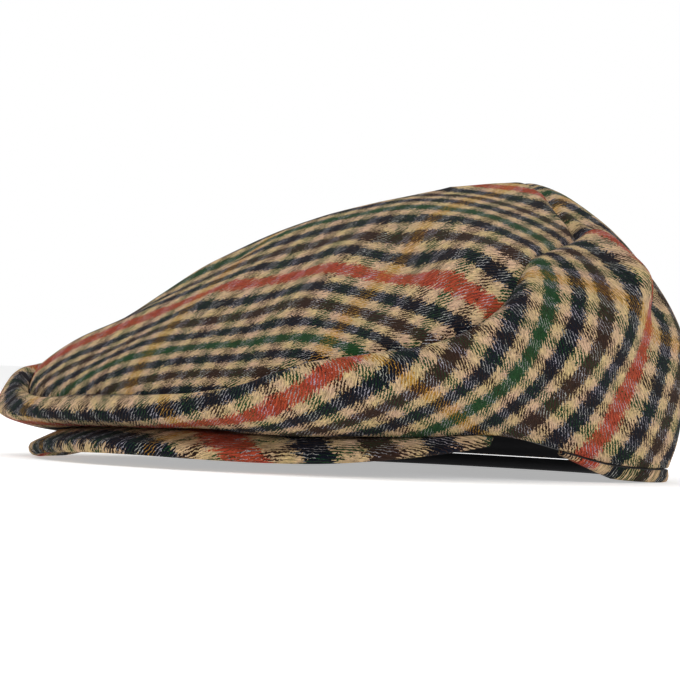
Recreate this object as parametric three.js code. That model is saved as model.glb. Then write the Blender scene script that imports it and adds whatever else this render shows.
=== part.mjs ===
// Flat cap of checked tweed: a one-piece top, a side panel that wraps the head,
// a stiff peak under the front lip, a hem strip at the back and an inner band.
// Units are millimetres, +Z is up, the peak points to -Y and the wearer's left is +X.
// The cap rests on the two drooping corners of its peak and on its back hem.

import * as THREE from 'three';
import { mergeVertices } from 'three/addons/utils/BufferGeometryUtils.js';

// Crown
const crownWidth = 204;
const crownLength = 253;
const crownHeight = 110;
const clothWall = 2.2;
const sideLean = 7;
const frontLean = 3;

// Head opening, measured round the outside of the side panel's lower edge
const openingWidth = 172;
const openingLength = 222;
const openingShift = 11;

// Peak
const peakWidth = 174;
const peakReach = 26.5;
const peakSetback = 106.5;
const peakWall = 5;
const peakEnd = 0.43;

// Hem strip round the back, from its pointed ends
const hemHeight = 4.4;
const hemWall = 2.2;
const hemStart = 0.572;
const hemTaper = 0.1;
const hemPoint = 0.2;

// Inner band
const bandHeight = 17.5;
const bandWall = 1.2;
const bandInset = 0.6;

// Sewing clearance between two pieces, and the room that a tucked-under edge needs
const seamGap = 0.3;
const tuckGap = 0.8;

// How finely the curves are stepped
const stepsPerRow = 3;
const stepsPerSpan = 2;
const sideSpans = 5;
const topRings = 6;
const bandRings = 2;
const peakSteps = 21;

const halfWidth = crownWidth / 2;
const halfLength = crownLength / 2;
const leanFrom = 0.05;
const leanFront = -0.6;
const leanBack = 0.3;
const underShare = 0.2;
const foldFade = 0.16;

// Each row is one place round the cap, from the front centre to the back centre.
// x is a share of half the crown's width, y of half its length, z of its height.
const seamRows = [
  { place: 'front', x: 0, y: -0.945, z: 0.205 },
  { place: 'lip', x: 0.314, y: -0.917, z: 0.203 },
  { place: 'corner', x: 0.54, y: -0.842, z: 0.232 },
  { place: 'temple', x: 0.7, y: -0.735, z: 0.299 },
  { place: 'foreSide', x: 0.825, y: -0.6, z: 0.33 },
  { place: 'side', x: 0.905, y: -0.42, z: 0.373 },
  { place: 'midSide', x: 0.922, y: -0.206, z: 0.495 },
  { place: 'aftSide', x: 0.824, y: -0.024, z: 0.645 },
  { place: 'rearSide', x: 0.716, y: 0.166, z: 0.704 },
  { place: 'rearCorner', x: 0.588, y: 0.372, z: 0.752 },
  { place: 'rearInner', x: 0.373, y: 0.458, z: 0.872 },
  { place: 'rearMiddle', x: 0.157, y: 0.569, z: 0.962 },
  { place: 'back', x: 0, y: 0.617, z: 0.99 },
];

const browRows = [
  { place: 'front', x: 0, y: -0.964, z: 0.212 },
  { place: 'lip', x: 0.326, y: -0.938, z: 0.21 },
  { place: 'corner', x: 0.575, y: -0.86, z: 0.237 },
  { place: 'temple', x: 0.745, y: -0.748, z: 0.303 },
  { place: 'foreSide', x: 0.872, y: -0.608, z: 0.332 },
  { place: 'side', x: 0.95, y: -0.42, z: 0.38 },
  { place: 'midSide', x: 0.961, y: -0.186, z: 0.497 },
  { place: 'aftSide', x: 0.873, y: 0.016, z: 0.646 },
  { place: 'rearSide', x: 0.779, y: 0.213, z: 0.708 },
  { place: 'rearCorner', x: 0.662, y: 0.435, z: 0.766 },
  { place: 'rearInner', x: 0.425, y: 0.545, z: 0.858 },
  { place: 'rearMiddle', x: 0.21, y: 0.635, z: 0.936 },
  { place: 'back', x: 0, y: 0.69, z: 0.978 },
];

const shoulderRows = [
  { place: 'front', x: 0, y: -0.99, z: 0.192 },
  { place: 'lip', x: 0.34, y: -0.96, z: 0.189 },
  { place: 'corner', x: 0.61, y: -0.874, z: 0.21 },
  { place: 'temple', x: 0.795, y: -0.752, z: 0.272 },
  { place: 'foreSide', x: 0.922, y: -0.592, z: 0.303 },
  { place: 'side', x: 0.985, y: -0.4, z: 0.35 },
  { place: 'midSide', x: 0.995, y: -0.158, z: 0.44 },
  { place: 'aftSide', x: 0.961, y: 0.063, z: 0.547 },
  { place: 'rearSide', x: 0.902, y: 0.285, z: 0.59 },
  { place: 'rearCorner', x: 0.814, y: 0.49, z: 0.626 },
  { place: 'rearInner', x: 0.605, y: 0.64, z: 0.682 },
  { place: 'rearMiddle', x: 0.35, y: 0.79, z: 0.762 },
  { place: 'back', x: 0, y: 0.88, z: 0.8 },
];

const bulgeRows = [
  { place: 'front', x: 0, y: -1, z: 0.155 },
  { place: 'lip', x: 0.355, y: -0.972, z: 0.152 },
  { place: 'corner', x: 0.63, y: -0.885, z: 0.16 },
  { place: 'temple', x: 0.82, y: -0.755, z: 0.2 },
  { place: 'foreSide', x: 0.93, y: -0.575, z: 0.235 },
  { place: 'side', x: 0.985, y: -0.356, z: 0.275 },
  { place: 'midSide', x: 1, y: -0.134, z: 0.32 },
  { place: 'aftSide', x: 0.995, y: 0.079, z: 0.36 },
  { place: 'rearSide', x: 0.961, y: 0.292, z: 0.4 },
  { place: 'rearCorner', x: 0.882, y: 0.498, z: 0.43 },
  { place: 'rearInner', x: 0.725, y: 0.723, z: 0.45 },
  { place: 'rearMiddle', x: 0.441, y: 0.909, z: 0.452 },
  { place: 'back', x: 0, y: 1, z: 0.436 },
];

const underRows = [
  { place: 'front', x: 0, y: -0.909, z: 0.112 },
  { place: 'lip', x: 0.294, y: -0.87, z: 0.111 },
  { place: 'corner', x: 0.5, y: -0.763, z: 0.102 },
  { place: 'temple', x: 0.657, y: -0.617, z: 0.095 },
  { place: 'foreSide', x: 0.75, y: -0.427, z: 0.105 },
  { place: 'side', x: 0.809, y: -0.245, z: 0.123 },
  { place: 'midSide', x: 0.858, y: -0.063, z: 0.141 },
  { place: 'aftSide', x: 0.892, y: 0.126, z: 0.15 },
  { place: 'rearSide', x: 0.892, y: 0.324, z: 0.15 },
  { place: 'rearCorner', x: 0.843, y: 0.514, z: 0.15 },
  { place: 'rearInner', x: 0.725, y: 0.715, z: 0.145 },
  { place: 'rearMiddle', x: 0.436, y: 0.885, z: 0.145 },
  { place: 'back', x: 0, y: 0.976, z: 0.145 },
];

// Here x and y are shares of half the opening's width and length, and lift is how far
// the cap's lower edge stands above the floor, as a share of the crown's height.
const openingRows = [
  { place: 'front', x: 0, y: -1, lift: 0.094 },
  { place: 'lip', x: 0.326, y: -0.946, lift: 0.09 },
  { place: 'corner', x: 0.558, y: -0.824, lift: 0.084 },
  { place: 'temple', x: 0.733, y: -0.676, lift: 0.08 },
  { place: 'foreSide', x: 0.86, y: -0.495, lift: 0.083 },
  { place: 'side', x: 0.936, y: -0.315, lift: 0.085 },
  { place: 'midSide', x: 0.983, y: -0.126, lift: 0.074 },
  { place: 'aftSide', x: 1, y: 0.072, lift: 0.044 },
  { place: 'rearSide', x: 0.994, y: 0.279, lift: 0.014 },
  { place: 'rearCorner', x: 0.953, y: 0.477, lift: 0.003 },
  { place: 'rearInner', x: 0.837, y: 0.694, lift: 0 },
  { place: 'rearMiddle', x: 0.512, y: 0.892, lift: 0 },
  { place: 'back', x: 0, y: 1, lift: 0 },
];

// The top panel runs inwards from the seam to a spine along the middle of the cap.
// spine is the share of half the length where each place meets it, crest its height,
// slope and roll say how steadily and how late the cloth falls towards the seam.
const topRows = [
  { place: 'front', spine: -0.57, crest: 0.541, slope: 0.86, roll: 8 },
  { place: 'lip', spine: -0.55, crest: 0.55, slope: 0.86, roll: 8 },
  { place: 'corner', spine: -0.5, crest: 0.582, slope: 0.85, roll: 8 },
  { place: 'temple', spine: -0.43, crest: 0.623, slope: 0.82, roll: 7 },
  { place: 'foreSide', spine: -0.34, crest: 0.673, slope: 0.7, roll: 5 },
  { place: 'side', spine: -0.23, crest: 0.736, slope: 0.5, roll: 3.5 },
  { place: 'midSide', spine: -0.11, crest: 0.8, slope: 0.2, roll: 2.8 },
  { place: 'aftSide', spine: 0.01, crest: 0.852, slope: 0.1, roll: 2.4 },
  { place: 'rearSide', spine: 0.12, crest: 0.891, slope: 0.08, roll: 2.2 },
  { place: 'rearCorner', spine: 0.21, crest: 0.918, slope: 0.15, roll: 2.2 },
  { place: 'rearInner', spine: 0.27, crest: 0.934, slope: 0.4, roll: 2 },
  { place: 'rearMiddle', spine: 0.31, crest: 0.945, slope: 0.7, roll: 2 },
  { place: 'back', spine: 0.33, crest: 0.951, slope: 1, roll: 2 },
];

// Outer edge of the peak, from the front centre to its end beside the temple.
// x is a share of half the peak's width, back a share of the setback, lift a share
// of the crown's height and wall a share of the peak's thickness.
const peakRows = [
  { place: 'front', x: 0, back: 0, lift: 0.034, wall: 1 },
  { place: 'lip', x: 0.276, back: 0.038, lift: 0.03, wall: 1 },
  { place: 'corner', x: 0.506, back: 0.122, lift: 0.022, wall: 1 },
  { place: 'droop', x: 0.69, back: 0.263, lift: 0.016, wall: 1 },
  { place: 'temple', x: 0.822, back: 0.437, lift: 0.018, wall: 0.96 },
  { place: 'foreSide', x: 0.92, back: 0.615, lift: 0.034, wall: 0.85 },
  { place: 'side', x: 0.971, back: 0.803, lift: 0.058, wall: 0.7 },
  { place: 'end', x: 1, back: 1, lift: 0.084, wall: 0.5 },
];

// Folds that the soft cloth has settled into. Each runs straight from one place to another
// over its panel: around is the share of half the way round from the front, negative on the
// wearer's right, and over the share from the panel's inner or lower edge to its other edge.
// width is a share of half the crown's width and rise a share of the crown's height.
const topFolds = [
  { fold: 'ridge', around: 0.29, over: 0.6, toAround: 0.42, toOver: 0.34, width: 0.12, rise: 0.022 },
  { fold: 'hollow', around: 0.45, over: 0.62, toAround: 0.47, toOver: 0.42, width: 0.1, rise: -0.032 },
  { fold: 'bump', around: 0.47, over: 0.82, toAround: 0.52, toOver: 0.8, width: 0.1, rise: 0.03 },
  { fold: 'rightSag', around: -0.36, over: 0.7, toAround: -0.46, toOver: 0.45, width: 0.14, rise: -0.022 },
];

const sideFolds = [
  { fold: 'rearRidge', around: 0.72, over: 0.9, toAround: 0.7, toOver: 0.6, width: 0.09, rise: 0.034 },
  { fold: 'ridgeFoot', around: 0.7, over: 0.6, toAround: 0.58, toOver: 0.42, width: 0.09, rise: 0.03 },
  { fold: 'rearGroove', around: 0.82, over: 0.82, toAround: 0.76, toOver: 0.58, width: 0.09, rise: -0.036 },
  { fold: 'grooveFoot', around: 0.76, over: 0.58, toAround: 0.66, toOver: 0.3, width: 0.1, rise: -0.03 },
  { fold: 'sideGroove', around: 0.6, over: 0.78, toAround: 0.52, toOver: 0.5, width: 0.09, rise: -0.022 },
  { fold: 'rightRidge', around: -0.68, over: 0.82, toAround: -0.6, toOver: 0.42, width: 0.12, rise: 0.026 },
  { fold: 'rightGroove', around: -0.77, over: 0.8, toAround: -0.7, toOver: 0.35, width: 0.12, rise: -0.03 },
];

// Smooth curve through one column of a table, share running from its first row to its last.
// The cap is the same on both sides of its middle, so past the front the rows repeat, and
// past the back too in a table that goes all the way round. Otherwise the curve runs on.
function through(rows, column, share, ring = true) {
  const last = rows.length - 1;
  const at = Math.min(Math.abs(share), 1) * last;
  const row = Math.min(Math.floor(at), last - 1);
  const flip = column === 'x' ? -1 : 1;
  const value = (index) => {
    if (index < 0) return flip * rows[-index][column];
    if (index <= last) return rows[index][column];
    if (ring) return flip * rows[2 * last - index][column];
    return 2 * rows[last][column] - rows[last - 1][column];
  };
  const t = at - row;
  const start = (value(row + 1) - value(row - 1)) / 2;
  const end = (value(row + 2) - value(row)) / 2;
  const rise = value(row + 1) - value(row);
  return value(row) + t * (start + t * (3 * rise - 2 * start - end + t * (start + end - 2 * rise)));
}

const sideOf = (around) => (around < 0 ? -1 : 1);

function crownPoint(rows, around) {
  return new THREE.Vector3(
    sideOf(around) * halfWidth * through(rows, 'x', around),
    halfLength * through(rows, 'y', around),
    crownHeight * through(rows, 'z', around),
  );
}

function edgeLift(around) {
  return crownHeight * Math.max(0, through(openingRows, 'lift', around));
}

// Lower edge of the side panel: above the hem strip at the back, on the peak in front
function openingPoint(around) {
  return new THREE.Vector3(
    sideOf(around) * openingWidth / 2 * through(openingRows, 'x', around),
    openingShift + openingLength / 2 * through(openingRows, 'y', around),
    edgeLift(around) + hemHeight + seamGap,
  );
}

// The cap lies a little lower on the wearer's right: the crown more so the higher it is,
// and its front part together with the peak
function lean(point) {
  const high = Math.max(0, point.z / crownHeight - leanFrom) / (1 - leanFrom);
  const fore = 1 - THREE.MathUtils.smoothstep(point.y / halfLength, leanFront, leanBack);
  point.z += (sideLean * high + frontLean * fore) * point.x / halfWidth;
  return point;
}

// Outside of the side panel without its folds, up running from its lower edge to the seam
function plainSideAt(around, up) {
  const profile = new THREE.CatmullRomCurve3([
    openingPoint(around),
    crownPoint(underRows, around),
    crownPoint(bulgeRows, around),
    crownPoint(shoulderRows, around),
    crownPoint(browRows, around),
    crownPoint(seamRows, around),
  ]);
  return lean(profile.getPoint(up));
}

// Outside of the top panel without its folds, out running from its spine to the seam
function plainTopAt(around, out) {
  const seam = crownPoint(seamRows, around);
  const crest = crownHeight * through(topRows, 'crest', around);
  const slope = through(topRows, 'slope', around);
  const roll = through(topRows, 'roll', around);
  const fall = slope * out + (1 - slope) * out ** roll;
  const point = new THREE.Vector3(
    seam.x * out,
    THREE.MathUtils.lerp(halfLength * through(topRows, 'spine', around), seam.y, out),
    THREE.MathUtils.lerp(crest, seam.z, fall),
  );
  return lean(point);
}

// How far the folds lift or sink the cloth at a point of a panel
function foldRise(folds, surface, point) {
  let rise = 0;
  for (const fold of folds) {
    const from = surface(fold.around, fold.over);
    const to = surface(fold.toAround, fold.toOver);
    const nearest = new THREE.Line3(from, to).closestPointToPoint(point, true, new THREE.Vector3());
    const away = nearest.distanceTo(point) / (fold.width * halfWidth);
    rise += crownHeight * fold.rise * Math.exp(-away * away);
  }
  return rise;
}

// The folds die out towards a panel's edges, so that neighbours still meet there
function fadeAt(over) {
  return THREE.MathUtils.smoothstep(Math.min(over, 1 - over), 0, foldFade);
}

function sideAt(around, up) {
  const point = plainSideAt(around, up);
  const rise = fadeAt(up) * foldRise(sideFolds, plainSideAt, point);
  return point.addScaledVector(outward(plainSideAt, around, up), rise);
}

function topAt(around, out) {
  const point = plainTopAt(around, out);
  const rise = fadeAt(out) * foldRise(topFolds, plainTopAt, point);
  return point.addScaledVector(outward(plainTopAt, around, out), -rise);
}

// Direction out of a surface that is given as a function of two shares
function outward(surface, around, across) {
  const step = 0.004;
  const low = Math.max(across - step, 0);
  const high = Math.min(across + step, 1);
  const wrap = (share) => share - 2 * Math.round(share / 2);
  const along = surface(wrap(around + step), across).sub(surface(wrap(around - step), across));
  const over = surface(around, high).sub(surface(around, low));
  return along.cross(over).normalize();
}

function sideOutward(around, up) {
  return outward(sideAt, around, up);
}

function topOutward(around, out) {
  if (out === 0) {
    const near = outward(topAt, around, 0.02);
    const far = outward(topAt, -around, 0.02);
    return near.add(far).normalize().negate();
  }
  return outward(topAt, around, out).negate();
}

// Both panels turn their cut edges the same way at the seam, so the edges stay parallel
function seamOutward(around) {
  return sideOutward(around, 1).add(topOutward(around, 1)).normalize();
}

// Closed solid swept through a list of sections, each a closed loop of points.
// Where the two halves of a ring meet in one line, the loop's side there is left out.
function sweep(sections, closed, shared = -1) {
  const perSection = sections[0].length;
  const positions = sections.flat().flatMap((point) => point.toArray());
  const index = [];
  const count = closed ? sections.length : sections.length - 1;
  for (let s = 0; s < count; s += 1) {
    for (let p = 0; p < perSection; p += 1) {
      if (p === shared) continue;
      const a = s * perSection + p;
      const b = s * perSection + (p + 1) % perSection;
      const c = ((s + 1) % sections.length) * perSection + (p + 1) % perSection;
      const d = ((s + 1) % sections.length) * perSection + p;
      index.push(a, b, c, a, c, d);
    }
  }
  if (!closed) {
    const last = (sections.length - 1) * perSection;
    for (let p = 1; p < perSection - 1; p += 1) {
      index.push(0, p + 1, p, last, last + p, last + p + 1);
    }
  }
  const geometry = new THREE.BufferGeometry();
  geometry.setAttribute('position', new THREE.Float32BufferAttribute(positions, 3));
  geometry.setIndex(index);
  return withoutSlivers(mergeVertices(geometry, 0.002));
}

// Triangles that lost a corner where sections meet in a line or a point are dropped
function withoutSlivers(geometry) {
  const corners = geometry.getIndex().array;
  const kept = [];
  for (let t = 0; t < corners.length; t += 3) {
    const [a, b, c] = [corners[t], corners[t + 1], corners[t + 2]];
    if (a !== b && b !== c && c !== a) kept.push(a, b, c);
  }
  geometry.setIndex(kept);
  geometry.computeVertexNormals();
  return geometry;
}

// Places round the whole cap, from the front centre past the left side and back again
function placesAround() {
  const perSide = (seamRows.length - 1) * stepsPerRow;
  const places = [];
  for (let step = 0; step <= perSide; step += 1) places.push(step / perSide);
  for (let step = perSide - 1; step > 0; step -= 1) places.push(-step / perSide);
  return places;
}

// Moves a point of a cut edge back from the seam by half the sewing clearance
function backFromSeam(point, inner) {
  const away = inner.clone().sub(point).normalize();
  return point.clone().addScaledVector(away, seamGap / 2);
}

function sidePanelGeometry() {
  const spans = sideSpans * stepsPerSpan;
  const sections = placesAround().map((around) => {
    const outside = [];
    const inside = [];
    for (let step = 0; step <= spans; step += 1) {
      const up = step / spans;
      const point = sideAt(around, up);
      const out = step === spans ? seamOutward(around) : sideOutward(around, up);
      outside.push(point);
      inside.push(point.clone().addScaledVector(out, -clothWall));
    }
    const shift = backFromSeam(outside[spans], outside[spans - 1]).sub(outside[spans]);
    outside[spans].add(shift);
    inside[spans].add(shift);
    return [...inside, ...outside.reverse()];
  });
  return sweep(sections, true);
}

function topPanelGeometry() {
  const sections = placesAround().map((around) => {
    const outside = [];
    const inside = [];
    for (let step = topRings; step >= 0; step -= 1) {
      const out = step / topRings;
      const point = topAt(around, out);
      const normal = step === topRings ? seamOutward(around) : topOutward(around, out);
      outside.push(point);
      inside.push(point.clone().addScaledVector(normal, -clothWall));
    }
    const shift = backFromSeam(outside[0], outside[1]).sub(outside[0]);
    outside[0].add(shift);
    inside[0].add(shift);
    return [...inside, ...outside.reverse()];
  });
  return sweep(sections, true, topRings);
}

// Level direction out of the cap at its lower edge
function openingOutward(around) {
  const step = 0.004;
  const wrap = (share) => share - 2 * Math.round(share / 2);
  const along = openingPoint(wrap(around + step)).sub(openingPoint(wrap(around - step)));
  return new THREE.Vector3(along.y, -along.x, 0).normalize();
}

function peakSection(share) {
  const around = share * peakEnd;
  const wall = peakWall * through(peakRows, 'wall', share, false);
  const tucked = [0, 0.5, 1].map((part) => {
    const point = sideAt(around, part * underShare);
    point.z -= THREE.MathUtils.lerp(seamGap, tuckGap, part);
    return point;
  });
  const edge = new THREE.Vector3(
    sideOf(share) * peakWidth / 2 * through(peakRows, 'x', share, false),
    openingShift - openingLength / 2 - peakReach + peakSetback * through(peakRows, 'back', share, false),
    crownHeight * through(peakRows, 'lift', share, false) + wall / 2,
  );
  edge.z = Math.max(wall / 2, lean(edge).z);
  const out = openingOutward(around);
  const centre = edge.clone().addScaledVector(out, -wall / 2);
  const rounded = [75, 25, -25, -90].map((degrees) => {
    const turn = THREE.MathUtils.degToRad(degrees);
    const point = centre.clone().addScaledVector(out, Math.cos(turn) * wall / 2);
    point.z += Math.sin(turn) * wall / 2;
    return point;
  });
  const below = tucked.map((point) => new THREE.Vector3(point.x, point.y, point.z - wall));
  return [...tucked, ...rounded, ...below.reverse()];
}

function peakGeometry() {
  const sections = [];
  for (let step = -peakSteps; step <= peakSteps; step += 1) {
    sections.push(peakSection(step / peakSteps));
  }
  return sweep(sections, false);
}

function bandGeometry() {
  const sections = placesAround().map((around) => {
    const out = openingOutward(around);
    const outer = lean(openingPoint(around)).addScaledVector(out, -clothWall - seamGap);
    outer.z += bandInset;
    const loop = [];
    for (let ring = 0; ring <= bandRings; ring += 1) {
      const point = outer.clone();
      point.z += bandHeight * ring / bandRings;
      loop.push(point);
    }
    for (let ring = bandRings; ring >= 0; ring -= 1) {
      loop.push(loop[ring].clone().addScaledVector(out, -bandWall));
    }
    return loop.reverse();
  });
  return sweep(sections, true);
}

function hemGeometry() {
  const places = placesAround().filter((around) => Math.abs(around) >= hemStart);
  const sections = places.map((around) => {
    const out = openingOutward(around);
    const grown = Math.min(1, (Math.abs(around) - hemStart) / hemTaper);
    const height = hemHeight * (hemPoint + (1 - hemPoint) * grown);
    const wallOut = sideOutward(around, 0);
    const outerTop = lean(openingPoint(around)).addScaledVector(out, seamGap * wallOut.z);
    outerTop.z -= seamGap;
    const outerLow = outerTop.clone();
    outerLow.z -= height;
    const innerTop = outerTop.clone().addScaledVector(wallOut, -hemWall);
    const innerLow = outerLow.clone().addScaledVector(out, -hemWall);
    return [innerLow, innerTop, outerTop, outerLow];
  });
  return sweep(sections, false);
}

const tweed = new THREE.MeshStandardMaterial({ color: 0x8a7a5c, roughness: 0.95 });
const tweedEdge = new THREE.MeshStandardMaterial({ color: 0x7c6d53, roughness: 0.95 });
const blackCloth = new THREE.MeshStandardMaterial({ color: 0x121214, roughness: 0.85 });

function piece(name, geometry, material) {
  const mesh = new THREE.Mesh(geometry, material);
  mesh.name = name;
  return mesh;
}

const cap = new THREE.Group();
cap.name = 'flat_cap';
cap.add(
  piece('top_panel', topPanelGeometry(), tweed),
  piece('side_panel', sidePanelGeometry(), tweed),
  piece('peak', peakGeometry(), tweed),
  piece('back_hem', hemGeometry(), tweedEdge),
  piece('sweatband', bandGeometry(), blackCloth),
);

export default cap;
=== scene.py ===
# Flat cap of checked tweed: looks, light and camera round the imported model.
# Lengths are millimetres until a vertex is placed, then metres.

import math

import bmesh
import bpy
from mathutils import Matrix, Vector, noise


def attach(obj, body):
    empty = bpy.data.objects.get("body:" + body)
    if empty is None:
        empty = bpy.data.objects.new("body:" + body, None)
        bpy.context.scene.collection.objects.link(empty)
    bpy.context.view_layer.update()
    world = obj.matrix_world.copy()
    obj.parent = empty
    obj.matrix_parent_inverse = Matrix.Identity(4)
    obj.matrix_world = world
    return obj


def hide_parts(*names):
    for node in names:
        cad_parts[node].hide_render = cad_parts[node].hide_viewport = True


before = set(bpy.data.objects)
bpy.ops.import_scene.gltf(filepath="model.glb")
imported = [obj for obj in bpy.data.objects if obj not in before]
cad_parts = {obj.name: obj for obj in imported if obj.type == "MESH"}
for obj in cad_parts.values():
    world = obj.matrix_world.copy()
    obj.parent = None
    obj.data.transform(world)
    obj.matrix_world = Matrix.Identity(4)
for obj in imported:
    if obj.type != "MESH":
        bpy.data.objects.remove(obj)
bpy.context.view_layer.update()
mm = 0.001

# The cap's own sizes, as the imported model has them
cap = {
    "crownWidth": 204,
    "crownLength": 253,
    "crownHeight": 110,
    "clothWall": 2.2,
    "sideLean": 7,
    "frontLean": 3,
    "leanFrom": 0.05,
    "leanFront": -0.6,
    "leanBack": 0.3,
    "openingWidth": 172,
    "openingLength": 222,
    "openingShift": 11,
    "hemHeight": 4.4,
    "seamGap": 0.3,
    "foldFade": 0.16,
}
halfWidth = cap["crownWidth"] / 2
halfLength = cap["crownLength"] / 2

# Rings from the seam down to the floor edge, one row per place from front centre to back
# centre: x and y as shares of half the width and length, z as a share of the height
seamRows = [
    (0, -0.945, 0.205), (0.314, -0.917, 0.203), (0.54, -0.842, 0.232), (0.7, -0.735, 0.299),
    (0.825, -0.6, 0.33), (0.905, -0.42, 0.373), (0.922, -0.206, 0.495), (0.824, -0.024, 0.645),
    (0.716, 0.166, 0.704), (0.588, 0.372, 0.752), (0.373, 0.458, 0.872), (0.157, 0.569, 0.962),
    (0, 0.617, 0.99),
]
browRows = [
    (0, -0.964, 0.212), (0.326, -0.938, 0.21), (0.575, -0.86, 0.237), (0.745, -0.748, 0.303),
    (0.872, -0.608, 0.332), (0.95, -0.42, 0.38), (0.961, -0.186, 0.497), (0.873, 0.016, 0.646),
    (0.779, 0.213, 0.708), (0.662, 0.435, 0.766), (0.425, 0.545, 0.858), (0.21, 0.635, 0.936),
    (0, 0.69, 0.978),
]
shoulderRows = [
    (0, -0.99, 0.192), (0.34, -0.96, 0.189), (0.61, -0.874, 0.21), (0.795, -0.752, 0.272),
    (0.922, -0.592, 0.303), (0.985, -0.4, 0.35), (0.995, -0.158, 0.44), (0.961, 0.063, 0.547),
    (0.902, 0.285, 0.59), (0.814, 0.49, 0.626), (0.605, 0.64, 0.682), (0.35, 0.79, 0.762),
    (0, 0.88, 0.8),
]
bulgeRows = [
    (0, -1, 0.155), (0.355, -0.972, 0.152), (0.63, -0.885, 0.16), (0.82, -0.755, 0.2),
    (0.93, -0.575, 0.235), (0.985, -0.356, 0.275), (1, -0.134, 0.32), (0.995, 0.079, 0.36),
    (0.961, 0.292, 0.4), (0.882, 0.498, 0.43), (0.725, 0.723, 0.45), (0.441, 0.909, 0.452),
    (0, 1, 0.436),
]
underRows = [
    (0, -0.909, 0.112), (0.294, -0.87, 0.111), (0.5, -0.763, 0.102), (0.657, -0.617, 0.095),
    (0.75, -0.427, 0.105), (0.809, -0.245, 0.123), (0.858, -0.063, 0.141), (0.892, 0.126, 0.15),
    (0.892, 0.324, 0.15), (0.843, 0.514, 0.15), (0.725, 0.715, 0.145), (0.436, 0.885, 0.145),
    (0, 0.976, 0.145),
]
# Opening's edge: x and y as shares of half the opening, z its lift as a share of the height
openingRows = [
    (0, -1, 0.094), (0.326, -0.946, 0.09), (0.558, -0.824, 0.084), (0.733, -0.676, 0.08),
    (0.86, -0.495, 0.083), (0.936, -0.315, 0.085), (0.983, -0.126, 0.074), (1, 0.072, 0.044),
    (0.994, 0.279, 0.014), (0.953, 0.477, 0.003), (0.837, 0.694, 0), (0.512, 0.892, 0),
    (0, 1, 0),
]
# Top panel: spine place, crest height, slope and roll of the fall towards the seam
topRows = [
    (-0.57, 0.541, 0.86, 8), (-0.55, 0.55, 0.86, 8), (-0.5, 0.582, 0.85, 8),
    (-0.43, 0.623, 0.82, 7), (-0.34, 0.673, 0.7, 5), (-0.23, 0.736, 0.5, 3.5),
    (-0.11, 0.8, 0.2, 2.8), (0.01, 0.852, 0.1, 2.4), (0.12, 0.891, 0.08, 2.2),
    (0.21, 0.918, 0.15, 2.2), (0.27, 0.934, 0.4, 2), (0.31, 0.945, 0.7, 2), (0.33, 0.951, 1, 2),
]
spineColumn, crestColumn, slopeColumn, rollColumn = range(4)

# Folds: around, over, to around, to over, width, rise
topFolds = [
    (0.29, 0.6, 0.42, 0.34, 0.12, 0.022),
    (0.45, 0.62, 0.47, 0.42, 0.1, -0.032),
    (0.47, 0.82, 0.52, 0.8, 0.1, 0.03),
    (-0.36, 0.7, -0.46, 0.45, 0.14, -0.022),
]
sideFolds = [
    (0.72, 0.9, 0.7, 0.6, 0.09, 0.034),
    (0.7, 0.6, 0.58, 0.42, 0.09, 0.03),
    (0.82, 0.82, 0.76, 0.58, 0.09, -0.036),
    (0.76, 0.58, 0.66, 0.3, 0.1, -0.03),
    (0.6, 0.78, 0.52, 0.5, 0.09, -0.022),
    (-0.68, 0.82, -0.6, 0.42, 0.12, 0.026),
    (-0.77, 0.8, -0.7, 0.35, 0.12, -0.03),
]


def smoothStep(value, low, high):
    t = min(max((value - low) / (high - low), 0), 1)
    return t * t * (3 - 2 * t)


def through(rows, column, share, odd=False, ring=True):  # smooth curve down one column
    last = len(rows) - 1
    at = min(abs(share), 1) * last
    row = min(int(at), last - 1)
    flip = -1 if odd else 1

    def value(index):
        if index < 0:
            return flip * rows[-index][column]
        if index <= last:
            return rows[index][column]
        if ring:
            return flip * rows[2 * last - index][column]
        return 2 * rows[last][column] - rows[last - 1][column]

    t = at - row
    start = (value(row + 1) - value(row - 1)) / 2
    end = (value(row + 2) - value(row)) / 2
    rise = value(row + 1) - value(row)
    bend = 3 * rise - 2 * start - end
    return value(row) + t * (start + t * (bend + t * (start + end - 2 * rise)))


def sideOf(around):
    return -1 if around < 0 else 1


def crownPoint(rows, around):
    return Vector((
        sideOf(around) * halfWidth * through(rows, 0, around, odd=True),
        halfLength * through(rows, 1, around),
        cap["crownHeight"] * through(rows, 2, around),
    ))


def openingPoint(around):
    lift = cap["crownHeight"] * max(0, through(openingRows, 2, around))
    return Vector((
        sideOf(around) * cap["openingWidth"] / 2 * through(openingRows, 0, around, odd=True),
        cap["openingShift"] + cap["openingLength"] / 2 * through(openingRows, 1, around),
        lift + cap["hemHeight"] + cap["seamGap"],
    ))


def lean(point):  # the crown and the front lie lower on the wearer's right
    high = max(0, point.z / cap["crownHeight"] - cap["leanFrom"]) / (1 - cap["leanFrom"])
    fore = 1 - smoothStep(point.y / halfLength, cap["leanFront"], cap["leanBack"])
    point.z += (cap["sideLean"] * high + cap["frontLean"] * fore) * point.x / halfWidth
    return point


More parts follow.
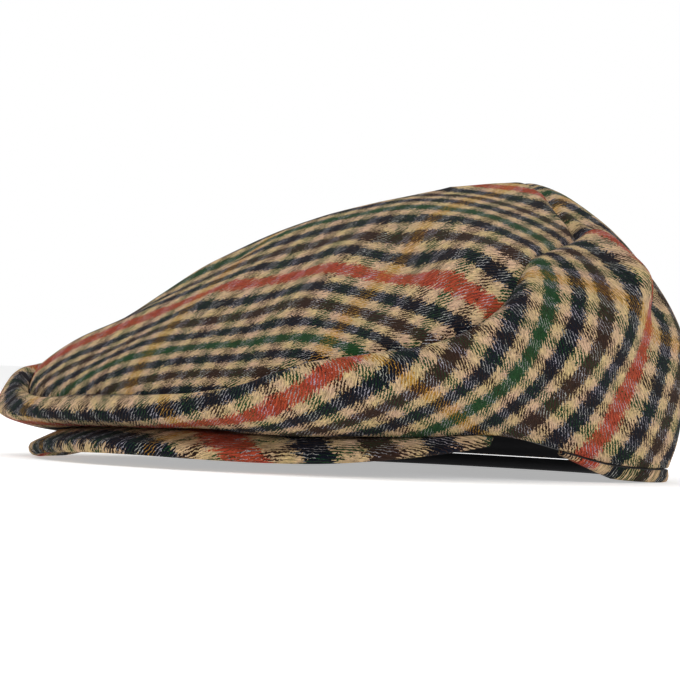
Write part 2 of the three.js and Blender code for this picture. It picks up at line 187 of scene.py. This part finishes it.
def curvePoint(points, share):  # centripetal curve through a few points
    at = share * (len(points) - 1)
    first = min(int(at), len(points) - 2)
    t = at - first
    p1, p2 = points[first], points[first + 1]
    p0 = points[first - 1] if first > 0 else 2 * p1 - p2
    p3 = points[first + 2] if first + 2 < len(points) else 2 * p2 - p1
    d0, d1, d2 = (math.sqrt((b - a).length) for a, b in ((p0, p1), (p1, p2), (p2, p3)))
    d1 = d1 if d1 > 1e-4 else 1
    d0 = d0 if d0 > 1e-4 else d1
    d2 = d2 if d2 > 1e-4 else d1
    t1 = ((p1 - p0) / d0 - (p2 - p0) / (d0 + d1) + (p2 - p1) / d1) * d1
    t2 = ((p2 - p1) / d1 - (p3 - p1) / (d1 + d2) + (p3 - p2) / d2) * d1
    return p1 + t * (t1 + t * (3 * (p2 - p1) - 2 * t1 - t2 + t * (2 * (p1 - p2) + t1 + t2)))


def plainSide(around, up):  # outside of the side panel without its folds
    profile = [openingPoint(around)]
    profile += [crownPoint(rows, around) for rows in
                (underRows, bulgeRows, shoulderRows, browRows, seamRows)]
    return lean(curvePoint(profile, up))


def plainTop(around, out):  # outside of the top panel without its folds
    seam = crownPoint(seamRows, around)
    crest = cap["crownHeight"] * through(topRows, crestColumn, around)
    slope = through(topRows, slopeColumn, around)
    fall = slope * out + (1 - slope) * out ** through(topRows, rollColumn, around)
    spine = halfLength * through(topRows, spineColumn, around)
    return lean(Vector((
        seam.x * out,
        spine + (seam.y - spine) * out,
        crest + (seam.z - crest) * fall,
    )))


def outward(surface, around, across):
    step = 0.004
    low, high = max(across - step, 0), min(across + step, 1)
    ahead, behind = (share - 2 * round(share / 2) for share in (around + step, around - step))
    along = surface(ahead, across) - surface(behind, across)
    return along.cross(surface(around, high) - surface(around, low)).normalized()


def foldLines(folds, surface):
    return [(surface(f[0], f[1]), surface(f[2], f[3]), f[4] * halfWidth, f[5] * cap["crownHeight"])
            for f in folds]


sideFoldLines = foldLines(sideFolds, plainSide)
topFoldLines = foldLines(topFolds, plainTop)


def foldRise(lines, point, over):
    fade = smoothStep(min(over, 1 - over), 0, cap["foldFade"])
    rise = 0
    for start, end, width, height in lines:
        run = end - start
        t = min(max((point - start).dot(run) / run.length_squared, 0), 1)
        away = (point - start - t * run).length / width
        rise += height * math.exp(-away * away)
    return fade * rise


# How the sewn cloth differs from a smooth shell
cloth = {
    "seamDip": 1.5,          # how far both panels roll down into the seam
    "seamDipWidth": 2.0,
    "puckerHeight": 0.35,    # small gathers along the seam
    "puckerLength": 9,
    "puckerReach": 9,
    "waveHeight": 0.7,       # slow unevenness of the whole cloth
    "waveLength": 26,
    "plainEdge": 0.05,       # share of the side panel that stays plain at its lower edge
    "spineEdge": 0.02,       # the two sides of the top panel share a normal inside this
    "aroundSteps": 168,
    "topSteps": 44,
    "sideSteps": 56,
    "topCrowd": 1.5,         # steps crowd towards the seam by this power
    "sideCrowd": 1.4,
}


def seamOutward(around):  # halfway between the two panels that meet at the seam
    return (outward(plainSide, around, 1) - outward(plainTop, around, 1)).normalized()


def sewnPoint(point, normal, around, rise, seed):  # seam groove, gathers and unevenness
    away = (point - crownSeam(around)).length
    dip = cloth["seamDip"] * math.exp(-(away / cloth["seamDipWidth"]) ** 2)
    pucker = noise.noise(point / cloth["puckerLength"]) * math.exp(-away / cloth["puckerReach"])
    wave = noise.noise(point / cloth["waveLength"] + Vector((3, 7, seed)))
    rise += cloth["puckerHeight"] * pucker + cloth["waveHeight"] * wave
    return point + normal * rise - seamOutward(around) * dip


def crownSeam(around):
    return lean(crownPoint(seamRows, around))


def sideLook(around, up):
    point = plainSide(around, up)
    normal = outward(plainSide, around, up)
    if up < cloth["plainEdge"]:
        return point
    return sewnPoint(point, normal, around, foldRise(sideFoldLines, point, up), 1)


def topLook(around, out):
    point = plainTop(around, out)
    edge = cloth["spineEdge"]
    if out < edge:
        normal = -(outward(plainTop, around, edge) + outward(plainTop, -around, edge)).normalized()
    else:
        normal = -outward(plainTop, around, out)
    return sewnPoint(point, normal, around, foldRise(topFoldLines, point, out), 2)


# How the tweed lies on each piece, as flat places in millimetres
layout = {
    "topTurn": math.radians(-23),    # the top panel's rows run off square by this much
    "topStretch": 1.23,              # and are drawn this much wider apart
    "topGather": 0.008,              # but closer again at the front
    "topShift": Vector((-63.7, 71.4)),
    "sideReference": 0.45,           # the side panel keeps its true length along this line
    "sideTurn": math.radians(90),    # and turns this much from the front to the back
    "sideSkew": 0.19,                # the columns slant by this share towards the back
    "frontShift": 3.4,               # rows of the front lip lie this much lower
    "frontFade": (0, math.radians(35)),
    "rearFade": (math.radians(46), math.radians(62)),  # above the line the rear is gathered
    "rearStart": -85,                # rows past this one lie wider apart
    "rearStretch": 0.75,
    "topRunSteps": 8,                # how finely true lengths are measured
    "sideRunSteps": 10,
    "sideShift": Vector((-35.2, -8.6)),
    "peakShift": Vector((-35.2, -6)),
    "peakFront": -126,               # rows lie wider apart behind the peak's front edge
    "peakStretch": 0.55,
    "hemShift": Vector((2, 3)),
}


def runningLength(points):
    lengths = [0]
    for a, b in zip(points, points[1:]):
        lengths.append(lengths[-1] + (b - a).length)
    return lengths


def lookUp(lengths, share):
    at = min(max(share, 0), 1) * (len(lengths) - 1)
    low = min(int(at), len(lengths) - 2)
    return lengths[low] + (at - low) * (lengths[low + 1] - lengths[low])


lengthSteps = 120
crestLengths = runningLength([plainTop(k / lengthSteps, 0) for k in range(lengthSteps + 1)])
sideLengths = runningLength([plainSide(k / lengthSteps, layout["sideReference"])
                             for k in range(lengthSteps + 1)])
turnRadius = sideLengths[-1] / layout["sideTurn"]


def topFlat(around, out):  # true length out from the spine, in the plan's direction
    seam = crownPoint(seamRows, around)
    spineY = halfLength * through(topRows, spineColumn, around)
    ahead = Vector((seam.x, seam.y - spineY))
    steps = layout["topRunSteps"]
    run = runningLength([plainTop(around, out * k / steps) for k in range(steps + 1)])[-1]
    flat = Vector((0, lookUp(crestLengths, abs(around)))) + ahead.normalized() * run
    turned = Matrix.Rotation(layout["topTurn"], 2) @ flat
    turned.y = turned.y / layout["topStretch"] - layout["topGather"] * min(turned.y, 0) ** 2
    return turned + layout["topShift"]


def sideFlat(around, up):  # a horseshoe: rows level at the front, upright at the back
    angle = lookUp(sideLengths, abs(around)) / turnRadius
    steps = layout["sideRunSteps"]
    reference = layout["sideReference"]
    run = runningLength([plainSide(around, reference + (up - reference) * k / steps)
                         for k in range(steps + 1)])[-1]
    rise = math.copysign(run, up - reference)
    kept = 1 - smoothStep(angle, *layout["rearFade"]) if rise > 0 else 1
    along = (turnRadius + rise) * math.sin(angle)
    across = turnRadius * (math.cos(angle) - 1) + rise * kept * math.cos(angle)
    across += (1 - layout["rearStretch"]) * max(layout["rearStart"] - across, 0)
    across += layout["frontShift"] * (1 - smoothStep(angle, *layout["frontFade"]))
    flat = Vector((sideOf(around) * (along + layout["sideSkew"] * min(across, 0)), across))
    return flat + layout["sideShift"]


def newPiece(name, mesh, materials):
    piece = bpy.data.objects.new(name, mesh)
    bpy.context.scene.collection.objects.link(piece)
    for material in materials:
        mesh.materials.append(material)
    for face in mesh.polygons:
        face.use_smooth = True
    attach(piece, "root")
    return piece


def layWeave(bm, weave, flats):  # the flat place of each corner on the cloth
    for face in bm.faces:
        for loop in face.loops:
            loop[weave].uv = flats[loop.vert]


def subdivide(piece):
    smooth = piece.modifiers.new("smooth", "SUBSURF")
    smooth.levels = 1
    smooth.render_levels = 1


def thicken(piece, wall, liningIndex):
    shell = piece.modifiers.new("wall", "SOLIDIFY")
    shell.thickness = wall * mm
    shell.offset = -1
    shell.material_offset = liningIndex
    subdivide(piece)


def clothPanel(name, look, flat, steps, crowd, materials):
    print("making", name)
    bm = bmesh.new()
    bmesh.ops.create_grid(bm, x_segments=cloth["aroundSteps"], y_segments=steps, size=0.5)
    weave = bm.loops.layers.uv.new("weave")
    places = {}
    for vert in bm.verts:
        share = vert.co.y + 0.5
        places[vert] = (min(max(2 * vert.co.x, -1), 1), 1 - (1 - share) ** crowd)
    flats = {vert: flat(*place) for vert, place in places.items()}
    for vert, place in places.items():
        vert.co = look(*place) * mm
    layWeave(bm, weave, flats)
    bmesh.ops.remove_doubles(bm, verts=bm.verts, dist=0.00002)
    bmesh.ops.dissolve_degenerate(bm, edges=bm.edges, dist=0.000005)
    bmesh.ops.recalc_face_normals(bm, faces=bm.faces)
    middle = sum((face.calc_center_median() for face in bm.faces), Vector()) / len(bm.faces)
    facing = sum(face.normal.dot(face.calc_center_median() - middle) for face in bm.faces)
    if facing < 0:
        bmesh.ops.reverse_faces(bm, faces=bm.faces)
    mesh = bpy.data.meshes.new(name)
    bm.to_mesh(mesh)
    bm.free()
    piece = newPiece(name, mesh, materials)
    thicken(piece, cap["clothWall"], 1)
    return piece


# Tweed: a brushed twill check. Rows of one colour each cross columns of another, with beige
# between them. Coloured rows hide most of the columns, beige rows less than half of them.
tweed = {
    "rowPitch": 12.1,        # one coloured row to the next
    "rowWidth": 0.55,        # share of that which is coloured, the rest beige
    "columnPitch": 9.2,
    "columnWidth": 0.56,
    "twillPitch": 1.5,       # one twill line to the next, along a row
    "rowShare": 0.82,        # how much of each twill line is a coloured row's yarn
    "beigeShare": 0.46,      # and a beige row's
    "fleck": (0.40, 0.40, 0.43),
    "upHairs": (3.4, 0.6),   # length and width of the hairs along each diagonal
    "downHairs": (2.0, 0.5),
    "upDrag": 9.0,           # how far they drag the colours
    "downDrag": 4.0,
    "twillSlip": 1.6,
    "twillBlur": 0.08,
    "beige": (0.62, 0.445, 0.27),
    "navy": (0.003, 0.005, 0.013),
    "brown": (0.034, 0.016, 0.011),
    "green": (0.012, 0.055, 0.018),
    "red": (0.40, 0.062, 0.030),
    "mustard": (0.46, 0.24, 0.035),
    "rows": ["brown", "navy", "green", "navy", "brown", "navy", "red", "navy"],
    "columns": ["mustard", "green", "brown", "green", "brown", "green", "brown", "green"],
}


class NodeMaker:  # short hand for wiring one material
    def __init__(self, name):
        self.material = bpy.data.materials.new(name)
        self.material.use_nodes = True
        self.tree = self.material.node_tree
        self.tree.nodes.clear()

    def add(self, kind, settings=None, inputs=None):
        node = self.tree.nodes.new(kind)
        for key, value in (settings or {}).items():
            setattr(node, key, value)
        for key, value in (inputs or {}).items():
            socket = node.inputs[key]
            if isinstance(value, bpy.types.NodeSocket):
                self.tree.links.new(value, socket)
            else:
                socket.default_value = value
        return node

    def math(self, operation, *values):
        node = self.add("ShaderNodeMath", {"operation": operation}, dict(enumerate(values)))
        return node.outputs[0]

    def mix(self, factor, a, b, blend="MIX"):
        node = self.add("ShaderNodeMix", {"data_type": "RGBA", "blend_type": blend},
                        {0: factor, 6: a, 7: b})
        return node.outputs[2]

    def bands(self, share, names, width):  # constant colour bands, each followed by beige
        ramp = self.add("ShaderNodeValToRGB", None, {0: share})
        ramp.color_ramp.interpolation = "CONSTANT"
        stops = ramp.color_ramp.elements
        count = 2 * len(names)
        while len(stops) < count:
            stops.new(1)
        for index in range(count):
            name = "beige" if index % 2 else names[index // 2]
            stops[index].position = (index // 2 + index % 2 * width) / len(names)
            stops[index].color = (*tweed[name], 1)
        return ramp.outputs[0]


def strokes(m, x, y, sign, length, width):  # a noise drawn out along one diagonal
    along = m.math("MULTIPLY", m.math("ADD", x, m.math("MULTIPLY", y, sign)), 0.7 / length)
    across = m.math("MULTIPLY", m.math("SUBTRACT", x, m.math("MULTIPLY", y, sign)), 0.7 / width)
    return m.add("ShaderNodeCombineXYZ", None, {0: along, 1: across}).outputs[0]


def tweedMaterial(name):
    m = NodeMaker(name)
    uv = m.add("ShaderNodeUVMap", {"uv_map": "weave"}).outputs[0]
    split = m.add("ShaderNodeSeparateXYZ", None, {0: uv})
    x, y = split.outputs[0], split.outputs[1]

    # Hairs: short strokes along both diagonals, which drag the colours with them
    upHairs = strokes(m, x, y, 1, *tweed["upHairs"])
    downHairs = strokes(m, x, y, -1, *tweed["downHairs"])
    upStroke = m.add("ShaderNodeTexNoise", None,
                     {"Vector": upHairs, "Scale": 1.0, "Detail": 2.0, "Roughness": 0.6})
    downStroke = m.add("ShaderNodeTexNoise", None,
                       {"Vector": downHairs, "Scale": 1.0, "Detail": 1.0, "Roughness": 0.6})
    upDrag = m.math("MULTIPLY", m.math("SUBTRACT", upStroke.outputs[0], 0.5), tweed["upDrag"])
    downDrag = m.math("MULTIPLY", m.math("SUBTRACT", downStroke.outputs[0], 0.5), tweed["downDrag"])
    x2 = m.math("ADD", m.math("ADD", x, upDrag), downDrag)
    y2 = m.math("SUBTRACT", m.math("ADD", y, upDrag), downDrag)

    rowCycle = tweed["rowPitch"] * len(tweed["rows"])
    columnCycle = tweed["columnPitch"] * len(tweed["columns"])
    rowColour = m.bands(m.math("FRACT", m.math("DIVIDE", y2, rowCycle)),
                        tweed["rows"], tweed["rowWidth"])
    columnColour = m.bands(m.math("FRACT", m.math("DIVIDE", x2, columnCycle)),
                           tweed["columns"], tweed["columnWidth"])

    # A coloured row hides most of its columns, and their beige shows on it as pale flecks
    inRow = m.math("LESS_THAN", m.math("FRACT", m.math("DIVIDE", y2, tweed["rowPitch"])),
                   tweed["rowWidth"])
    offColumn = m.math("GREATER_THAN", m.math("FRACT", m.math("DIVIDE", x2, tweed["columnPitch"])),
                       tweed["columnWidth"])
    columnColour = m.mix(m.math("MULTIPLY", inRow, offColumn), columnColour, (*tweed["fleck"], 1))
    share = m.math("ADD", m.math("MULTIPLY", inRow, tweed["rowShare"] - tweed["beigeShare"]),
                   tweed["beigeShare"])

    # Twill line: which of the two yarns lies on top
    fine = m.add("ShaderNodeTexNoise", None, {"Vector": uv, "Scale": 0.9, "Detail": 2.0})
    slip = m.math("MULTIPLY", m.math("SUBTRACT", fine.outputs[0], 0.5), tweed["twillSlip"])
    twill = m.math("FRACT", m.math("ADD", m.math("DIVIDE", m.math("SUBTRACT", x, y),
                                                 tweed["twillPitch"]), slip))
    blur = tweed["twillBlur"]
    rowOnTop = m.add("ShaderNodeMapRange", {"interpolation_type": "SMOOTHSTEP"},
                     {0: twill, 1: m.math("ADD", share, blur), 2: m.math("SUBTRACT", share, blur),
                      3: 0.0, 4: 1.0}).outputs[0]
    yarn = m.mix(rowOnTop, columnColour, rowColour)

    # Heather and painted fibre shade: each hair a little lighter, darker, pinker or yellower, the
    # darker hairs standing in for shade in the gaps between the fibres
    hairs = m.add("ShaderNodeTexNoise", None,
                  {"Vector": upHairs, "Scale": 1.4, "Detail": 3.0, "Roughness": 0.8})
    tone = m.add("ShaderNodeMapRange", None,
                 {0: hairs.outputs[0], 1: 0.34, 2: 0.64, 3: 0.3, 4: 1.4})
    # the hair tone multiplies the yarn: random heather plus painted shade between the fibres
    heatherAndFibreShade = m.mix(1.0, yarn, tone.outputs[0], "MULTIPLY")
    patch = m.add("ShaderNodeTexNoise", None, {"Vector": uv, "Scale": 0.12, "Detail": 2.0})
    warm = m.add("ShaderNodeValToRGB", None, {0: patch.outputs[0]})
    warm.color_ramp.elements[0].position = 0.35
    warm.color_ramp.elements[0].color = (1.0, 0.92, 1.0, 1)
    warm.color_ramp.elements[1].position = 0.65
    warm.color_ramp.elements[1].color = (0.97, 1.0, 0.8, 1)
    heather = m.mix(1.0, heatherAndFibreShade, warm.outputs[0], "MULTIPLY")
    white = m.add("ShaderNodeMapRange", None,
                  {0: downStroke.outputs[0], 1: 0.7, 2: 0.82, 3: 0.0, 4: 0.25})
    fuzz = m.mix(white.outputs[0], heather, (0.5, 0.46, 0.42, 1))

    ribs = m.math("SINE", m.math("MULTIPLY", twill, 2 * math.pi))
    height = m.math("ADD", m.math("MULTIPLY", ribs, 0.2), hairs.outputs[0])
    bump = m.add("ShaderNodeBump", None, {"Strength": 0.8, "Distance": 0.0008, "Height": height})
    shader = m.add("ShaderNodeBsdfPrincipled", None, {
        "Base Color": fuzz, "Roughness": 0.95, "Specular IOR Level": 0.1,
        "Sheen Weight": 0.03, "Sheen Roughness": 0.5, "Sheen Tint": (1.0, 0.93, 0.82, 1),
        "Normal": bump.outputs[0]})
    m.add("ShaderNodeOutputMaterial", None, {0: shader.outputs[0]})
    return m.material


def plainClothMaterial(name, colour, threadsPerMetre):
    m = NodeMaker(name)
    place = m.add("ShaderNodeTexCoord").outputs["Object"]
    weave = m.add("ShaderNodeTexWave", {"bands_direction": "Z"},
                  {"Vector": place, "Scale": threadsPerMetre / 20, "Distortion": 0.6})
    cloudy = m.add("ShaderNodeTexNoise", None, {"Vector": place, "Scale": 90.0, "Detail": 3.0})
    tone = m.add("ShaderNodeMapRange", None, {0: cloudy.outputs[0], 3: 0.7, 4: 1.35})
    base = m.mix(1.0, (*colour, 1), tone.outputs[0], "MULTIPLY")
    bump = m.add("ShaderNodeBump", None,
                 {"Strength": 0.4, "Distance": 0.0003, "Height": weave.outputs[1]})
    shader = m.add("ShaderNodeBsdfPrincipled", None, {
        "Base Color": base, "Roughness": 0.75, "Specular IOR Level": 0.25,
        "Sheen Weight": 0.12, "Normal": bump.outputs[0]})
    m.add("ShaderNodeOutputMaterial", None, {0: shader.outputs[0]})
    return m.material


tweedCloth = tweedMaterial("tweed")
blackCloth = plainClothMaterial("blackCloth", (0.012, 0.012, 0.014), 1600)

topPanel = clothPanel("topCloth", topLook, topFlat, cloth["topSteps"], cloth["topCrowd"],
                      [tweedCloth, blackCloth])
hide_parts("top_panel")
sidePanel = clothPanel("sideCloth", sideLook, sideFlat, cloth["sideSteps"], cloth["sideCrowd"],
                       [tweedCloth, blackCloth])
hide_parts("side_panel")


# Peak: one padded rim under the front lip
peak = {
    "width": 174,
    "reach": 26.5,
    "setback": 106.5,
    "wall": 5,
    "end": 0.455,
    "underShare": 0.2,
    "tuckGap": 0.8,
    "alongSteps": 132,
    "sectionSteps": 48,
    # outer edge: x, back, lift and wall shares from the front centre to the end
    "rows": [
        (0, 0, 0.034, 1), (0.276, 0.038, 0.03, 1), (0.506, 0.122, 0.022, 1),
        (0.69, 0.263, 0.016, 1), (0.822, 0.437, 0.018, 0.96), (0.92, 0.615, 0.034, 0.85),
        (0.971, 0.803, 0.058, 0.6), (1, 1, 0.092, 0.25),
    ],
}


def openingOutward(around):
    step = 0.004
    ahead, behind = (share - 2 * round(share / 2) for share in (around + step, around - step))
    along = openingPoint(ahead) - openingPoint(behind)
    return Vector((along.y, -along.x, 0)).normalized()


def peakSection(share):
    around = share * peak["end"]
    wall = peak["wall"] * through(peak["rows"], 3, share, ring=False)
    tucked = []
    for part in (0, 0.5, 1):
        point = plainSide(around, part * peak["underShare"])
        point.z -= cap["seamGap"] + (peak["tuckGap"] - cap["seamGap"]) * part
        tucked.append(point)
    front = cap["openingShift"] - cap["openingLength"] / 2 - peak["reach"]
    edge = lean(Vector((
        sideOf(share) * peak["width"] / 2 * through(peak["rows"], 0, share, odd=True, ring=False),
        front + peak["setback"] * through(peak["rows"], 1, share, ring=False),
        cap["crownHeight"] * through(peak["rows"], 2, share, ring=False) + wall / 2,
    )))
    edge.z = max(wall / 2, edge.z)
    out = openingOutward(around)
    centre = edge - out * wall / 2
    rounded = []
    for degrees in (75, 40, 5, -30, -65, -90):
        turn = math.radians(degrees)
        rise = Vector((0, 0, math.sin(turn) * wall / 2))
        rounded.append(centre + out * math.cos(turn) * wall / 2 + rise)
    below = [Vector((p.x, p.y, p.z - wall)) for p in tucked]
    return tucked + rounded + below[::-1]


def peakPiece():
    print("making peak")
    bm = bmesh.new()
    bmesh.ops.create_grid(bm, x_segments=peak["alongSteps"],
                          y_segments=peak["sectionSteps"], size=0.5)
    weave = bm.loops.layers.uv.new("weave")
    sections = {}
    flats = {}
    for vert in bm.verts:
        share = round(2 * vert.co.x, 5)
        if share not in sections:
            loop = peakSection(share)
            sections[share] = loop + [loop[0]]
        over = vert.co.y + 0.5
        loop = sections[share]
        at = over * (len(loop) - 1)
        first = min(int(at), len(loop) - 2)
        place = loop[first].lerp(loop[first + 1], at - first)
        run = runningLength(loop[:first + 1] + [place])[-1]
        out = openingOutward(share * peak["end"])
        flat = Vector((loop[0].x, loop[0].y)) + Vector((out.x, out.y)) * run
        flat.y = layout["peakFront"] + layout["peakStretch"] * (flat.y - layout["peakFront"])
        flats[vert] = flat + layout["peakShift"]
        vert.co = place * mm
    layWeave(bm, weave, flats)
    bmesh.ops.remove_doubles(bm, verts=bm.verts, dist=0.00002)
    bmesh.ops.holes_fill(bm, edges=[e for e in bm.edges if e.is_boundary], sides=0)
    bmesh.ops.recalc_face_normals(bm, faces=bm.faces)
    mesh = bpy.data.meshes.new("peakCloth")
    bm.to_mesh(mesh)
    bm.free()
    piece = newPiece("peakCloth", mesh, [tweedCloth])
    subdivide(piece)
    return piece


peakCloth = peakPiece()
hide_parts("peak")


# Back hem: the folded strip round the back of the opening, pointed at both ends
hem = {
    "start": 0.572,
    "taper": 0.1,
    "point": 0.2,
    "wall": 2.2,
    "alongSteps": 120,
    "roll": 0.9,
    "insideFrom": 5,     # places of a section from here on are plain
}


def hemSection(around):  # outside top, rolled foot and inside top
    out = openingOutward(around)
    wallOut = outward(plainSide, around, 0)
    outerTop = lean(openingPoint(around)) + out * cap["seamGap"] * wallOut.z
    outerTop.z -= cap["seamGap"]
    grown = min(1, (abs(around) - hem["start"]) / hem["taper"])
    height = cap["hemHeight"] * (hem["point"] + (1 - hem["point"]) * grown)
    roll = min(hem["roll"], height / 3)
    outerFoot = outerTop - Vector((0, 0, height))
    innerFoot = outerFoot - out * hem["wall"]
    innerTop = outerTop - wallOut * hem["wall"]
    down = Vector((0, 0, roll))
    middle = outerTop.lerp(outerFoot, 0.5) + out * roll * 0.3
    return [outerTop, middle, outerFoot + down, outerFoot - out * roll * 0.3 + down * 0.3,
            outerFoot - out * roll, innerFoot + out * roll, innerFoot + down, innerTop]


def hemPiece():
    print("making back hem")
    bm = bmesh.new()
    sections = len(hemSection(1))
    bmesh.ops.create_grid(bm, x_segments=hem["alongSteps"], y_segments=sections, size=0.5)
    weave = bm.loops.layers.uv.new("weave")
    flats = {}
    inside = set()
    for vert in bm.verts:
        share = vert.co.x + 0.5
        around = hem["start"] + 2 * (1 - hem["start"]) * share
        around = around if around <= 1 else around - 2
        loop = hemSection(around)
        loop.append(loop[0])
        index = round((vert.co.y + 0.5) * sections)
        run = runningLength(loop[:index + 1])[-1]
        flats[vert] = sideFlat(around, 0) + layout["hemShift"] - Vector((0, run))
        vert.co = loop[index] * mm
        if index >= hem["insideFrom"]:
            inside.add(vert)
    for face in bm.faces:
        if inside.issuperset(face.verts):
            face.material_index = 1
    layWeave(bm, weave, flats)
    bmesh.ops.remove_doubles(bm, verts=bm.verts, dist=0.00001)
    bmesh.ops.holes_fill(bm, edges=[e for e in bm.edges if e.is_boundary], sides=0)
    bmesh.ops.recalc_face_normals(bm, faces=bm.faces)
    mesh = bpy.data.meshes.new("hemCloth")
    bm.to_mesh(mesh)
    bm.free()
    return newPiece("hemCloth", mesh, [tweedCloth, blackCloth])


hemCloth = hemPiece()
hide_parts("back_hem")

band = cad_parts["sweatband"].data
band.materials.clear()
band.materials.append(blackCloth)


# Studio: pale floor and backdrop in one, soft lights
studio = {
    "floorSize": 60.0,
    "floorGlow": 0.42,
    "floorColour": (0.86, 0.86, 0.86, 1),
    "worldColour": (1.0, 1.0, 1.0, 1),
    "worldStrength": 0.55,
    "lights": [  # name, place, target, size and power
        ("keyLight", (0.0, -1.3, 1.7), (0, 0, 0.04), 1.4, 15),
        ("sideLight", (1.7, 0.1, 0.9), (0, 0, 0.04), 1.2, 9),
        ("backLight", (-1.2, 1.2, 1.5), (0, 0, 0.05), 1.2, 8),
    ],
}


def makeStudio():
    print("making studio")
    bm = bmesh.new()
    bmesh.ops.create_grid(bm, x_segments=1, y_segments=1, size=studio["floorSize"] / 2)
    mesh = bpy.data.meshes.new("floor")
    bm.to_mesh(mesh)
    bm.free()
    floor = bpy.data.objects.new("floor", mesh)
    bpy.context.scene.collection.objects.link(floor)
    m = NodeMaker("floorPaper")
    shader = m.add("ShaderNodeBsdfPrincipled", None,
                   {"Base Color": studio["floorColour"], "Roughness": 0.9,
                    "Specular IOR Level": 0.1, "Emission Color": studio["worldColour"],
                    "Emission Strength": studio["floorGlow"]})
    m.add("ShaderNodeOutputMaterial", None, {0: shader.outputs[0]})
    mesh.materials.append(m.material)

    world = bpy.data.worlds.new("studioWorld")
    world.use_nodes = True
    tree = world.node_tree
    background = tree.nodes["Background"]
    background.inputs[0].default_value = studio["worldColour"]
    background.inputs[1].default_value = studio["worldStrength"]
    backdrop = tree.nodes.new("ShaderNodeBackground")
    backdrop.inputs[0].default_value = studio["worldColour"]
    backdrop.inputs[1].default_value = 1.0
    rays = tree.nodes.new("ShaderNodeLightPath")
    choice = tree.nodes.new("ShaderNodeMixShader")
    tree.links.new(rays.outputs["Is Camera Ray"], choice.inputs[0])
    tree.links.new(background.outputs[0], choice.inputs[1])
    tree.links.new(backdrop.outputs[0], choice.inputs[2])
    tree.links.new(choice.outputs[0], tree.nodes["World Output"].inputs[0])
    bpy.context.scene.world = world


def softLight(name, place, target, size, power):
    lamp = bpy.data.lights.new(name, "AREA")
    lamp.shape = "DISK"
    lamp.size = size
    lamp.energy = power
    light = bpy.data.objects.new(name, lamp)
    bpy.context.scene.collection.objects.link(light)
    light.location = place
    light.rotation_euler = (Vector(target) - Vector(place)).to_track_quat("-Z", "Y").to_euler()


# Camera: low in front of the wearer's left, rolled a little
view = {
    "target": Vector((0.8, -10.8, 45.8)),
    "distance": 1115.5,
    "azimuth": math.radians(46.6),
    "elevation": math.radians(-0.7),
    "roll": math.radians(2.6),
    "lens": 165.6,
    "sensor": 36,
}


def makeCamera():
    azimuth, elevation, roll = view["azimuth"], view["elevation"], view["roll"]
    back = Vector((math.sin(azimuth) * math.cos(elevation),
                   -math.cos(azimuth) * math.cos(elevation), math.sin(elevation)))
    right = Vector((math.cos(azimuth), math.sin(azimuth), 0))
    up = back.cross(right)
    rolledRight = right * math.cos(roll) + up * math.sin(roll)
    rolledUp = up * math.cos(roll) - right * math.sin(roll)
    lens = bpy.data.cameras.new("camera")
    lens.lens = view["lens"]
    lens.sensor_width = view["sensor"]
    lens.clip_start = 0.01
    camera = bpy.data.objects.new("camera", lens)
    bpy.context.scene.collection.objects.link(camera)
    turn = Matrix((rolledRight, rolledUp, back)).transposed().to_4x4()
    camera.matrix_world = Matrix.Translation((view["target"] + back * view["distance"]) * mm) @ turn
    bpy.context.scene.camera = camera


makeStudio()
for light in studio["lights"]:
    softLight(*light)
makeCamera()
bpy.context.scene.view_settings.view_transform = "Standard"
